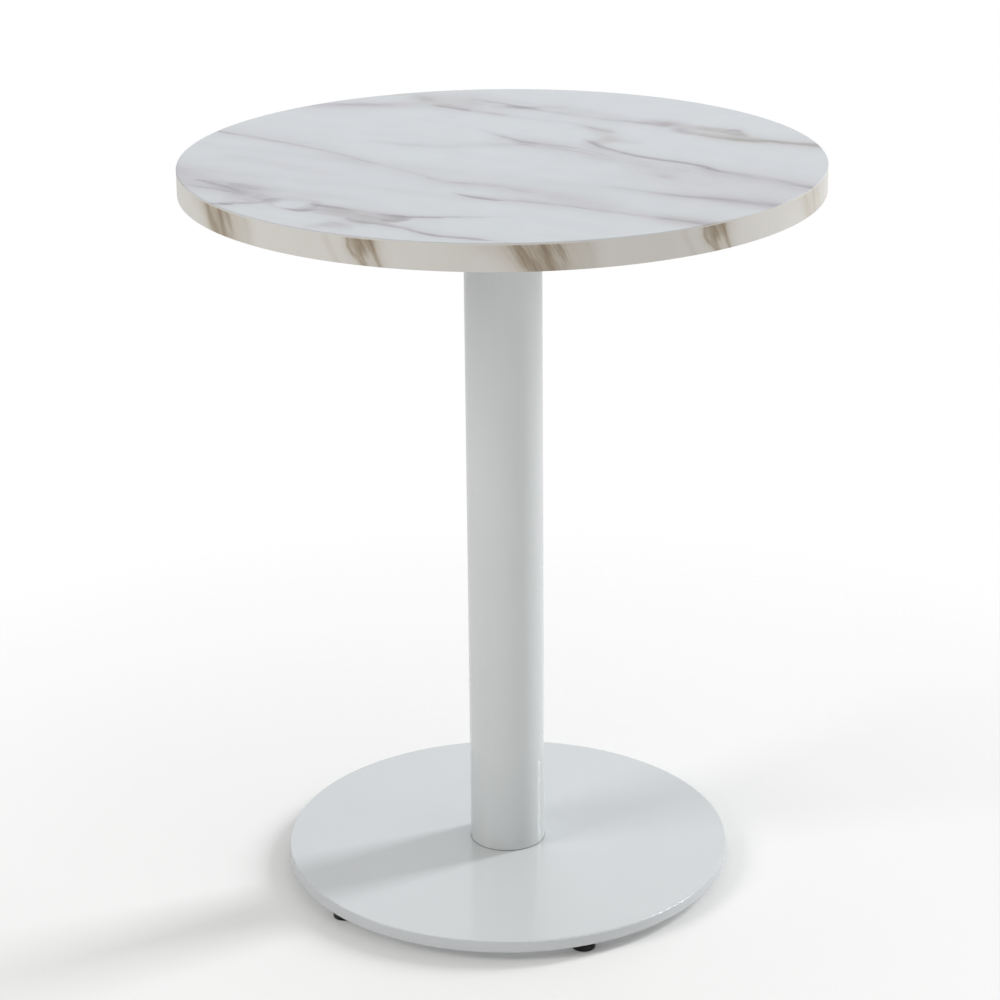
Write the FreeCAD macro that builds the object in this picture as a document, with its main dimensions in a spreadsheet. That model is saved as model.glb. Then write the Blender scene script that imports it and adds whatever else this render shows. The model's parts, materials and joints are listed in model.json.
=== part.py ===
"""Round bistro table: a laminate-faced disc top on a steel tube column and a flat steel disc base.

The frame has its origin on the floor below the column's axis, with +Z up and the first foot on +X.
Every length below is in millimetres.

From the floor up:
  five levelling feet    a moulded pad that turns on the collared, threaded stud held in it
  base plate             a solid disc with blind tapped holes for the studs
  column                 a tube with a drilled disc let into each end, bolted to base and spider
  spider                 a four-armed plate on the column, screwed to inserts in the top
  top                    a board with a laminate above, a backing sheet below and a band round it

Threads that sit in another piece are drawn as rings at the thread's pitch.
"""

import FreeCAD
import Part
import Sketcher

import os

SHEET = "Sizes"
SCREW_RINGS = (("inner", "{screw_circle_inner}"), ("outer", "{screw_circle_outer}"))

# the sketcher's numbers for its own geometry and for the points of a curve
ORIGIN_POINT = (-1, 1)
H_AXIS = -1
V_AXIS = -2
START, END, CENTRE = 1, 2, 3

# alias: (value, what it is)
SIZES = {
    "overall_height": (720, "floor to the top's upper face"),
    "top_diameter": (600, "over the edge band"),
    "top_thickness": (25, "laminate, board and backing together"),
    "laminate_thickness": (0.8, "patterned sheet on the board"),
    "backing_thickness": (0.6, "plain sheet under the board"),
    "band_thickness": (2, "edge band, measured outwards"),
    "band_rounding": (1.5, "radius on the band's two outer corners"),
    "insert_diameter": (11, "threaded insert over its outer thread"),
    "insert_length": (13, "threaded insert"),
    "insert_pitch": (2, "coarse outer thread of the insert"),
    "insert_thread_depth": (0.9, "coarse outer thread of the insert"),
    "insert_flange": (1, "plain rim at the insert's open end"),
    "insert_hole_depth": (15, "hole in the board, from the underside"),
    "spider_span": (280, "tip to tip across two arms"),
    "spider_arm_width": (44, "width of an arm"),
    "spider_arm_count": (4, "arms"),
    "spider_thickness": (5, "flat steel plate"),
    "spider_hub": (110, "diameter of the plate's middle"),
    "spider_tip_rounding": (12, "corners at the arm tips"),
    "spider_root_rounding": (16, "corners between arm and hub"),
    "screw_diameter": (6, "screws that hold the top"),
    "screw_pitch": (1, "thread of those screws"),
    "screw_length": (16, "under the head"),
    "screw_head_diameter": (10.5, "button head"),
    "screw_head_height": (3.3, "button head"),
    "screw_washer_diameter": (13, "flat washer"),
    "screw_washer_thickness": (1.2, "flat washer"),
    "screw_circle_inner": (150, "circle of the inner screws"),
    "screw_circle_outer": (244, "circle of the outer screws"),
    "screw_hole": (6.8, "hole in the spider"),
    "screw_socket": (4, "across the flats of the socket"),
    "column_diameter": (74, "outside of the tube"),
    "column_wall": (2, "wall of the tube"),
    "column_chamfer": (0.6, "broken outer edge at the tube's ends"),
    "disc_thickness": (8, "drilled disc in each end of the tube"),
    "bolt_count": (4, "bolts at each end of the column"),
    "bolt_circle": (44, "circle of those bolts"),
    "bolt_diameter": (8, "thread of those bolts"),
    "bolt_pitch": (1.25, "thread of those bolts"),
    "bolt_hole": (9, "clearance hole for those bolts"),
    "bolt_head_diameter": (14, "button head of the lower bolts"),
    "bolt_head_height": (4.4, "button head of the lower bolts"),
    "bolt_length": (25, "lower bolt under the head"),
    "bolt_socket": (5, "across the flats of the socket"),
    "flat_washer_diameter": (16, "under the spring washer"),
    "flat_washer_thickness": (1.6, "under the spring washer"),
    "spring_washer_diameter": (13.6, "split lock washer"),
    "spring_washer_thickness": (2, "split lock washer"),
    "spring_washer_split": (1, "width of the split"),
    "flush_head_diameter": (15.6, "countersunk head of the upper bolts"),
    "flush_bolt_length": (16, "upper bolt with its head"),
    "flush_socket_depth": (3, "hexagon socket of the upper bolts"),
    "flush_depth": (0.3, "how far the head lies below the spider's face"),
    "base_diameter": (440, "disc on the floor"),
    "base_thickness": (12, "solid plate"),
    "base_rounding": (1.5, "radius on the plate's two outer corners"),
    "floor_gap": (10, "floor to the plate's underside, feet screwed in"),
    "foot_count": (5, "levelling feet"),
    "foot_circle": (406, "circle of the feet"),
    "foot_hole_depth": (9.5, "blind tapped hole in the plate"),
    "pad_diameter": (22.4, "moulded foot pad"),
    "pad_height": (6, "moulded foot pad"),
    "pad_rounding": (0.8, "lower corner of the pad"),
    "pad_shoulder": (1.8, "sloping shoulder at the pad's top"),
    "pad_recess_diameter": (12, "shallow recess under the pad"),
    "pad_recess_depth": (0.5, "shallow recess under the pad"),
    "pad_floor": (1.8, "floor to the bottom of the stud's pocket"),
    "stud_head_diameter": (9.5, "head held in the pad"),
    "stud_head_height": (1.8, "head held in the pad"),
    "stud_neck_diameter": (6, "neck between head and collar"),
    "stud_play": (0.3, "room for the stud to turn in the pad"),
    "collar_across": (13, "hexagon for a spanner"),
    "collar_height": (3.2, "hexagon for a spanner"),
    "collar_gap": (0.4, "collar to plate, foot screwed in"),
    "stud_length": (8.5, "thread above the collar"),
    "thread_depth": (0.6, "share of the pitch that a thread is deep"),
    "tip_chamfer": (0.5, "chamfer at a thread's free end"),
    "socket_depth": (0.6, "share of a button head that its socket is deep"),
    "thread_play": (0.1, "radial room between a thread and its hole"),
}


def make_sheet(doc):
    """Writes the driving dimensions, one row each: value with its alias, then its meaning."""
    sheet = doc.addObject("Spreadsheet::Sheet", SHEET)
    for row, (alias, (size, meaning)) in enumerate(SIZES.items(), 1):
        sheet.set(f"A{row}", alias)
        sheet.set(f"B{row}", str(size))
        sheet.setAlias(f"B{row}", alias)
        sheet.set(f"C{row}", meaning)
    doc.recompute()


def cells(text):
    """Turns words such as {top_diameter} into references to the sheet."""
    return text.replace("{", f"{SHEET}.").replace("}", "")


def value(feature, text):
    """The number that an expression has now."""
    result = feature.evalExpression(cells(text))
    return float(getattr(result, "Value", result))


def bind(feature, **sizes):
    """Binds properties to expressions, a double underscore standing for a dot."""
    for name, text in sizes.items():
        feature.setExpression(name.replace("__", "."), cells(text))


def origin_feature(body, role):
    """The body's own plane or axis with that role."""
    return next(f for f in body.Origin.OriginFeatures if f.Role == role)


def new_body(doc, label, x="0", y="0", z="0"):
    """An empty body whose own origin stands at that place."""
    body = doc.addObject("PartDesign::Body", label)
    body.Label = label
    bind(body, Placement__Base__x=x, Placement__Base__y=y, Placement__Base__z=z)
    return body


def primitive(body, kind, name, x="0", z="0", **sizes):
    """A PartDesign primitive that stands on the body's XY plane at (x, 0, z)."""
    feature = body.newObject(f"PartDesign::{kind}", name)
    feature.AttachmentSupport = [(origin_feature(body, "XY_Plane"), "")]
    feature.MapMode = "FlatFace"
    bind(feature, AttachmentOffset__Base__x=x, AttachmentOffset__Base__z=z, **sizes)
    body.Document.recompute()
    return feature


def hexagon(body, kind, name, across, height, x="0", z="0"):
    """A six-sided prism given by its width across the flats."""
    feature = primitive(body, kind, name, x, z, Height=height)
    feature.Polygon = 6
    bind(feature, Circumradius=f"({across}) / (2 * cos(30))")
    return feature


def new_sketch(body, role, name):
    """An empty sketch on one of the body's own planes."""
    sketch = body.newObject("Sketcher::SketchObject", name)
    sketch.AttachmentSupport = [(origin_feature(body, role), "")]
    sketch.MapMode = "FlatFace"
    return sketch


def hold_point(sketch, geometry, point, x, y, tag):
    """Fixes a sketch point at (x, y), each bound to the sheet, or to an axis where it is 0."""
    directions = (("DistanceX", x, V_AXIS), ("DistanceY", y, H_AXIS))
    for kind, text, axis in directions:
        if text == "0":
            sketch.addConstraint(Sketcher.Constraint("PointOnObject", geometry, point, axis))
            continue
        size = value(sketch, text)
        rule = Sketcher.Constraint(kind, *ORIGIN_POINT, geometry, point, size)
        name = f"{tag}_{kind[-1].lower()}"
        sketch.renameConstraint(sketch.addConstraint(rule), name)
        sketch.setExpression(f"Constraints.{name}", cells(text))


def circle(sketch, name, diameter):
    """A circle of that diameter about the sketch's origin."""
    radius = value(sketch, diameter) / 2
    shape = Part.Circle(FreeCAD.Vector(), FreeCAD.Vector(0, 0, 1), radius)
    index = sketch.addGeometry(shape)
    hold_point(sketch, index, CENTRE, "0", "0", name)
    rule = sketch.addConstraint(Sketcher.Constraint("Diameter", index, 2 * radius))
    sketch.renameConstraint(rule, name)
    sketch.setExpression(f"Constraints.{name}", cells(diameter))


def outline(sketch, corners):
    """A closed polygon through the corners, each an (x, y) pair of expressions."""
    places = [FreeCAD.Vector(value(sketch, x), value(sketch, y), 0) for x, y in corners]
    first = sketch.GeometryCount
    count = len(corners)
    for i in range(count):
        line = Part.LineSegment(places[i], places[(i + 1) % count])
        sketch.addGeometry(line)
    for i in range(count):
        after = first + (i + 1) % count
        sketch.addConstraint(Sketcher.Constraint("Coincident", first + i, END, after, START))
    for i, (x, y) in enumerate(corners):
        hold_point(sketch, first + i, START, x, y, f"corner{i}")


def upright_axis(sketch, x):
    """A construction line parallel to the sketch's upright axis, for turning about."""
    at = value(sketch, x)
    length = 10
    line = Part.LineSegment(FreeCAD.Vector(at, 0, 0), FreeCAD.Vector(at, length, 0))
    index = sketch.addGeometry(line, True)
    sketch.addConstraint(Sketcher.Constraint("Vertical", index))
    sketch.addConstraint(Sketcher.Constraint("DistanceY", index, START, index, END, length))
    hold_point(sketch, index, START, x, "0", "axis")
    return (sketch, ["Axis0"])


def disc_body(doc, label, diameter, height, z, hole=None):
    """A body that is one round disc, or a ring where a hole's diameter is given."""
    body = new_body(doc, label, z=z)
    sketch = new_sketch(body, "XY_Plane", f"{label}_outline")
    circle(sketch, "outside", diameter)
    if hole:
        circle(sketch, "hole", hole)
    feature = body.newObject("PartDesign::Pad", f"{label}_pad")
    feature.Profile = sketch
    bind(feature, Length=height)
    doc.recompute()
    return body


def turned(body, name, corners, axis_x=None):
    """Adds a solid of revolution: corners are (radius, height) pairs about the axis at axis_x."""
    sketch = new_sketch(body, "XZ_Plane", f"{name}_section")
    if axis_x is None:
        axis = (sketch, ["V_Axis"])
    else:
        axis = upright_axis(sketch, axis_x)
        corners = [(f"{axis_x} + {r}", z) for r, z in corners]
    outline(sketch, corners)
    feature = body.newObject("PartDesign::Revolution", name)
    feature.Profile = sketch
    feature.ReferenceAxis = axis
    feature.Angle = 360
    body.Document.recompute()
    return feature


def thread_corners(body, radius, pitch, depth, start, length):
    """Ring crests up a shank, as outline corners from start upwards."""
    turns = int(value(body, f"({length}) / ({pitch})"))
    corners = []
    for i in range(turns):
        corners.append((radius, f"{start} + {i} * {pitch}"))
        corners.append((f"{radius} - {depth}", f"{start} + {i + 0.5} * {pitch}"))
    corners.append((radius, f"{start} + {turns} * {pitch}"))
    return corners


def repeat_round(body, feature, count):
    """Repeats one feature about the body's upright axis and makes that the body's result."""
    pattern = body.newObject("PartDesign::PolarPattern", f"{feature.Name}_ring")
    pattern.Originals = [feature]
    pattern.Axis = (origin_feature(body, "Z_Axis"), [""])
    pattern.Angle = 360
    bind(pattern, Occurrences=count)
    body.Tip = pattern
    body.Document.recompute()


def turned_ring(body, name, corners, circle_size, count):
    """A ring of equal turned pieces, each about its own upright axis on that circle."""
    repeat_round(body, turned(body, name, corners, f"{circle_size} / 2"), count)


def washer_ring(body, name, hole, rim, thick, circle_size, count):
    """A ring of flat washers that lie on the body's XY plane."""
    inner, outer = f"({hole}) / 2", f"({rim}) / 2"
    corners = [(inner, "0"), (outer, "0"), (outer, thick), (inner, thick)]
    turned_ring(body, name, corners, circle_size, count)


def socket_ring(body, name, across, depth, circle_size, count, z="0"):
    """Cuts a hexagon socket upwards from z into each piece of a ring."""
    cut = hexagon(body, "SubtractivePrism", name, across, depth, f"{circle_size} / 2", z)
    repeat_round(body, cut, count)


def drill_ring(body, name, circle_size, diameter, depth, count):
    """Cuts a ring of round holes upwards from the body's XY plane."""
    cut = primitive(body, "SubtractiveCylinder", name, f"{circle_size} / 2",
                    Radius=f"({diameter}) / 2", Height=depth)
    repeat_round(body, cut, count)


def dress(body, kind, name, size, picks):
    """A fillet or chamfer on the edges of the body's result for which picks is true."""
    base = body.Tip
    names = [f"Edge{i}" for i, e in enumerate(base.Shape.Edges, 1) if picks(e)]
    feature = body.newObject(f"PartDesign::{kind}", name)
    feature.Base = (base, names)
    bind(feature, **{"Radius" if kind == "Fillet" else "Size": size})
    body.Document.recompute()


def is_ring(edge, radius):
    """True for a full circle of that radius about the body's upright axis."""
    curve = edge.Curve
    if not isinstance(curve, Part.Circle):
        return False
    off_axis = abs(curve.Center.x) + abs(curve.Center.y)
    return abs(curve.Radius - radius) < 0.01 and off_axis < 0.01


def is_upright_line(edge):
    """True for a straight edge parallel to the upright axis."""
    if not isinstance(edge.Curve, Part.Line):
        return False
    return abs(abs(edge.tangentAt(edge.FirstParameter).z) - 1) < 1e-6


def make_top(doc):
    """The board with its laminate, backing sheet, edge band and threaded inserts."""
    inside = "{top_diameter} - 2 * {band_thickness}"
    underside = "{overall_height} - {top_thickness}"
    board_bottom = f"{underside} + {{backing_thickness}}"
    board_height = "{top_thickness} - {laminate_thickness} - {backing_thickness}"

    disc_body(doc, "top_laminate", inside, "{laminate_thickness}",
              "{overall_height} - {laminate_thickness}")
    board = disc_body(doc, "tabletop_board", inside, board_height, board_bottom)
    backing = disc_body(doc, "backing_sheet", inside, "{backing_thickness}", underside)
    insert_hole = "{insert_diameter} + 2 * {thread_play}"
    for word, ring in SCREW_RINGS:
        drill_ring(board, f"board_{word}_hole", ring, insert_hole,
                   "{insert_hole_depth} - {backing_thickness}", "{spider_arm_count}")
        drill_ring(backing, f"backing_{word}_hole", ring, insert_hole,
                   "{backing_thickness}", "{spider_arm_count}")

    band = disc_body(doc, "edge_band", "{top_diameter}", "{top_thickness}", underside, inside)
    radius = value(band, "{top_diameter} / 2")
    dress(band, "Fillet", "band_rounding", "{band_rounding}", lambda e: is_ring(e, radius))

    inserts = new_body(doc, "threaded_inserts", z=underside)
    bore = "({screw_diameter} / 2 + {thread_play})"
    crests = thread_corners(inserts, "{insert_diameter} / 2", "{insert_pitch}",
                            "{insert_thread_depth}", "{insert_flange}",
                            "{insert_length} - {insert_flange}")
    corners = [(bore, "0"), ("{insert_diameter} / 2", "0")] + crests + [(bore, crests[-1][1])]
    for word, ring in SCREW_RINGS:
        turned_ring(inserts, f"insert_{word}", corners, ring, "{spider_arm_count}")


def make_spider(doc):
    """The four-armed plate between column and top, with its countersunk hub holes."""
    bottom = "{overall_height} - {top_thickness} - {spider_thickness}"
    body = disc_body(doc, "mounting_spider", "{spider_hub}", "{spider_thickness}", bottom)
    arm = primitive(body, "AdditiveBox", "arm", Length="{spider_span} / 2",
                    Width="{spider_arm_width}", Height="{spider_thickness}")
    bind(arm, AttachmentOffset__Base__y="-{spider_arm_width} / 2")
    repeat_round(body, arm, "{spider_arm_count}")

    tip = value(body, "{spider_span} / 2 - 1")
    hub = value(body, "{spider_hub} / 2")

    def at_tip(edge):
        return is_upright_line(edge) and edge.Vertexes[0].Point.Length > tip

    def at_root(edge):
        place = edge.Vertexes[0].Point
        return is_upright_line(edge) and abs((place.x**2 + place.y**2) ** 0.5 - hub) < 0.5

    dress(body, "Fillet", "tip_rounding", "{spider_tip_rounding}", at_tip)
    dress(body, "Fillet", "root_rounding", "{spider_root_rounding}", at_root)

    for word, ring in SCREW_RINGS:
        drill_ring(body, f"screw_hole_{word}", ring, "{screw_hole}", "{spider_thickness}",
                   "{spider_arm_count}")
    drill_ring(body, "hub_hole", "{bolt_circle}", "{bolt_hole}", "{spider_thickness}",
               "{bolt_count}")
    seat = "({flush_head_diameter} / 2 + {flush_depth})"
    sink = primitive(body, "SubtractiveCone", "countersink", "{bolt_circle} / 2",
                     f"{{spider_thickness}} - {seat} + {{bolt_diameter}} / 2",
                     Radius1="{bolt_diameter} / 2", Radius2=seat,
                     Height=f"{seat} - {{bolt_diameter}} / 2")
    repeat_round(body, sink, "{bolt_count}")


def make_top_screws(doc):
    """Button-head screws up through the spider into the inserts, each on a flat washer."""
    spider_bottom = "{overall_height} - {top_thickness} - {spider_thickness}"
    head_top = f"{spider_bottom} - {{screw_washer_thickness}}"
    washers = new_body(doc, "top_screw_washers", z=head_top)
    screws = new_body(doc, "top_screws", z=f"{head_top} - {{screw_head_height}}")
    for word, ring in SCREW_RINGS:
        washer_ring(washers, f"washer_{word}", "{screw_hole}", "{screw_washer_diameter}",
                    "{screw_washer_thickness}", ring, "{spider_arm_count}")
        button_bolts(screws, f"screw_{word}", "screw", ring, "{spider_arm_count}")


def button_bolts(body, name, family, circle_size, count):
    """A ring of button-head bolts with hexagon sockets, crowns at z 0 and threads above.

    The family is the word that the bolt's sizes start with in the sheet.
    """
    crown = f"{{{family}_head_height}}"
    rim = f"{{{family}_head_diameter}} / 2"
    radius = f"{{{family}_diameter}} / 2"
    pitch = f"{{{family}_pitch}}"
    length = f"{{{family}_length}}"
    corners = [("0", "0"), (f"0.5 * {rim}", "0"), (f"0.86 * {rim}", f"0.35 * {crown}"),
               (rim, f"0.8 * {crown}"), (rim, crown)]
    corners += thread_corners(body, radius, pitch, f"{{thread_depth}} * {pitch}",
                              crown, f"{length} - {{tip_chamfer}}")
    corners += [(f"{radius} - {{tip_chamfer}}", f"{crown} + {length}"),
                ("0", f"{crown} + {length}")]
    turned_ring(body, name, corners, circle_size, count)
    socket_ring(body, f"{name}_socket", f"{{{family}_socket}}",
                f"{{socket_depth}} * {crown}", circle_size, count)


def make_column(doc):
    """The tube and the drilled disc let into each of its ends."""
    bottom = "{floor_gap} + {base_thickness}"
    top = "{overall_height} - {top_thickness} - {spider_thickness}"
    bore = "{column_diameter} - 2 * {column_wall}"
    tube = disc_body(doc, "column_tube", "{column_diameter}", f"{top} - ({bottom})",
                     bottom, bore)
    radius = value(tube, "{column_diameter} / 2")
    dress(tube, "Chamfer", "broken_edges", "{column_chamfer}", lambda e: is_ring(e, radius))

    ends = (("column_lower_disc", bottom), ("column_upper_disc", f"{top} - {{disc_thickness}}"))
    for label, z in ends:
        disc = disc_body(doc, label, bore, "{disc_thickness}", z)
        drill_ring(disc, f"{label}_tapped", "{bolt_circle}",
                   "{bolt_diameter} + 2 * {thread_play}", "{disc_thickness}", "{bolt_count}")


def make_upper_bolts(doc):
    """Countersunk bolts down through the spider into the column's upper disc."""
    face = "{overall_height} - {top_thickness} - {flush_depth}"
    body = new_body(doc, "upper_column_bolts", z=f"{face} - {{flush_bolt_length}}")
    radius = "{bolt_diameter} / 2"
    head = "({flush_head_diameter} / 2)"
    length = "{flush_bolt_length}"
    cone = f"({length} - {head} + {radius})"
    corners = [("0", "0"), (f"{radius} - {{tip_chamfer}}", "0")]
    corners += thread_corners(body, radius, "{bolt_pitch}", "{thread_depth} * {bolt_pitch}",
                              "{tip_chamfer}", f"{cone} - 2 * {{tip_chamfer}}")
    corners += [(radius, cone), (head, length), ("0", length)]
    turned_ring(body, "flush_bolt", corners, "{bolt_circle}", "{bolt_count}")
    socket_ring(body, "flush_socket", "{bolt_socket}", "{flush_socket_depth}",
                "{bolt_circle}", "{bolt_count}", f"{length} - {{flush_socket_depth}}")


def make_lower_bolts(doc):
    """Button-head bolts up through the base into the column, on spring and flat washers."""
    flat_z = "{floor_gap} - {flat_washer_thickness}"
    spring_z = f"{flat_z} - {{spring_washer_thickness}}"
    hole = "{bolt_diameter} + 4 * {thread_play}"

    flat = new_body(doc, "lower_flat_washers", z=flat_z)
    washer_ring(flat, "flat_washer", hole, "{flat_washer_diameter}",
                "{flat_washer_thickness}", "{bolt_circle}", "{bolt_count}")

    spring = new_body(doc, "lower_spring_washers", z=spring_z)
    washer_ring(spring, "spring_washer", hole, "{spring_washer_diameter}",
                "{spring_washer_thickness}", "{bolt_circle}", "{bolt_count}")
    split = primitive(spring, "SubtractiveBox", "split", "{bolt_circle} / 2",
                      Length="{spring_washer_diameter}", Width="{spring_washer_split}",
                      Height="{spring_washer_thickness}")
    bind(split, AttachmentOffset__Base__y="-{spring_washer_split} / 2")
    repeat_round(spring, split, "{bolt_count}")

    bolts = new_body(doc, "lower_column_bolts", z=f"{spring_z} - {{bolt_head_height}}")
    button_bolts(bolts, "bolt", "bolt", "{bolt_circle}", "{bolt_count}")


def make_base(doc):
    """The solid disc with holes for the column's bolts and blind tapped holes for the feet."""
    body = disc_body(doc, "base_plate", "{base_diameter}", "{base_thickness}", "{floor_gap}")
    radius = value(body, "{base_diameter} / 2")
    dress(body, "Fillet", "base_rounding", "{base_rounding}", lambda e: is_ring(e, radius))
    drill_ring(body, "column_bolt_hole", "{bolt_circle}", "{bolt_hole}", "{base_thickness}",
               "{bolt_count}")
    drill_ring(body, "foot_hole", "{foot_circle}", "{bolt_diameter} + 2 * {thread_play}",
               "{foot_hole_depth}", "{foot_count}")


def make_foot(doc, number):
    """One levelling foot: a moulded pad on the floor and the stud whose head turns in it."""
    turn = f"({number - 1} * 360 / {{foot_count}})"
    x = f"{{foot_circle}} / 2 * cos({turn})"
    y = f"{{foot_circle}} / 2 * sin({turn})"

    pad_body = new_body(doc, f"foot_{number}_pad", x, y)
    rim = "{pad_diameter} / 2"
    recess = "{pad_recess_diameter} / 2"
    pocket = "{stud_head_diameter} / 2 + {stud_play}"
    throat = "{stud_neck_diameter} / 2 + {stud_play}"
    pocket_top = "{pad_floor} + {stud_head_height} + 2 * {stud_play}"
    turned(pad_body, f"pad_{number}", [
        ("0", "{pad_recess_depth}"), (recess, "{pad_recess_depth}"),
        (f"{recess} + {{pad_recess_depth}}", "0"), (rim, "0"),
        (rim, "{pad_height} - {pad_shoulder}"), (f"{rim} - {{pad_shoulder}}", "{pad_height}"),
        (throat, "{pad_height}"), (throat, pocket_top), (pocket, pocket_top),
        (pocket, "{pad_floor}"), ("0", "{pad_floor}"),
    ])
    radius = value(pad_body, rim)
    dress(pad_body, "Fillet", f"pad_{number}_rounding", "{pad_rounding}",
          lambda e: is_ring(e, radius))

    stud_z = "{pad_floor} + {stud_play}"
    collar_top = f"({{floor_gap}} - {{collar_gap}} - ({stud_z}))"
    collar_bottom = f"({collar_top} - {{collar_height}})"
    stud = new_body(doc, f"foot_{number}_stud", x, y, stud_z)
    head, neck = "{stud_head_diameter} / 2", "{stud_neck_diameter} / 2"
    thread = "{bolt_diameter} / 2"
    corners = [("0", "0"), (head, "0"), (head, "{stud_head_height}"),
               (neck, "{stud_head_height}"), (neck, collar_top)]
    corners += thread_corners(stud, thread, "{bolt_pitch}", "{thread_depth} * {bolt_pitch}",
                              collar_top, "{stud_length} - {tip_chamfer}")
    corners += [(f"{thread} - {{tip_chamfer}}", f"{collar_top} + {{stud_length}}"),
                ("0", f"{collar_top} + {{stud_length}}")]
    turned(stud, f"stud_{number}", corners)
    hexagon(stud, "AdditivePrism", f"collar_{number}", "{collar_across}", "{collar_height}",
            z=collar_bottom)
    doc.recompute()


def check(doc):
    """Stops with a message if a feature failed or a sub-part has no sound shape."""
    for feature in doc.Objects:
        if "Invalid" in feature.State or "Error" in feature.State:
            raise RuntimeError(f"{feature.Label} failed: {feature.State}")
    for body in sub_parts(doc):
        if body.Shape.isNull() or not body.Shape.isValid() or not body.Shape.Solids:
            raise RuntimeError(f"{body.Label} has no sound shape")


def sub_parts(doc):
    return [f for f in doc.Objects if f.TypeId == "PartDesign::Body"]


def main():
    doc = FreeCAD.newDocument("BistroTable")
    make_sheet(doc)
    make_top(doc)
    make_spider(doc)
    make_top_screws(doc)
    make_column(doc)
    make_upper_bolts(doc)
    make_lower_bolts(doc)
    make_base(doc)
    for number in range(1, SIZES["foot_count"][0] + 1):
        make_foot(doc, number)
    doc.recompute()
    check(doc)
    os.makedirs("parts", exist_ok=True)
    for body in sub_parts(doc):
        body.Shape.exportStep(f"parts/{body.Label}.step")
        box = body.Shape.BoundBox
        print(f"{body.Label}: {len(body.Shape.Solids)} solids, {body.Shape.Volume:.1f} mm3,"
              f" z {box.ZMin:.2f} to {box.ZMax:.2f}")


main()
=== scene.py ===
"""The looks of the bistro table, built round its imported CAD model.

Metres, +Z up, origin on the floor below the column, first foot on +X. Materials work in
millimetres of the same frame. The marble's printed pattern is laid out as a person in front of
the table sees it, which is PRINT_TURN away from the frame's axes.
"""

import json
import math

import bmesh
import bpy
from mathutils import Matrix, Vector


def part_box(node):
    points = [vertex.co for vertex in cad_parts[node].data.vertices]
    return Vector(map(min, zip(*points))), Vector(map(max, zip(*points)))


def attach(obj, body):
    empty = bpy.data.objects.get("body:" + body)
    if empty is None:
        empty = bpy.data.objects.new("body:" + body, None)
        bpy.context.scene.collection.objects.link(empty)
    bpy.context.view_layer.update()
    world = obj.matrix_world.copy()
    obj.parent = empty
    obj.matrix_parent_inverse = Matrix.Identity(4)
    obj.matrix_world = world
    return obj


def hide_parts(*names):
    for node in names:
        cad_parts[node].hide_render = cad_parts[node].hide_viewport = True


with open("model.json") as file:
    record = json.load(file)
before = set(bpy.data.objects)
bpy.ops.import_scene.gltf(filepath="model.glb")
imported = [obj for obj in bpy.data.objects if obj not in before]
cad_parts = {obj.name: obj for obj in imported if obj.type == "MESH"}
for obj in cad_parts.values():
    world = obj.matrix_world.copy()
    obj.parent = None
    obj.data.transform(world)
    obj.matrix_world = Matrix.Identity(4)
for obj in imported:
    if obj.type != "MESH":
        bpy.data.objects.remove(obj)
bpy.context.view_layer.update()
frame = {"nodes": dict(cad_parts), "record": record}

MM = 0.001

# how the print and the studio lie, and where the camera stands in it: metres, radians, lens in mm
PRINT_TURN = math.radians(-2.5)
CAMERA_DISTANCE = 2.5345
CAMERA_HEIGHT = 1.3271
CAMERA_AIM_RIGHT = -0.0019
CAMERA_AIM_DOWN = 0.3568
CAMERA_ROLL = -0.0092
CAMERA_LENS = 100.76
SENSOR_WIDTH = 36


# ---------------------------------------------------------------- colours and nodes

NOISE_MIDDLE = (0.3, 0.7)


def paint(red, green, blue):
    """A linear colour from the 0 to 255 values a paint chart gives."""
    def linear(value):
        value /= 255
        return value / 12.92 if value <= 0.04045 else ((value + 0.055) / 1.055) ** 2.4
    return (linear(red), linear(green), linear(blue), 1.0)


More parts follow.
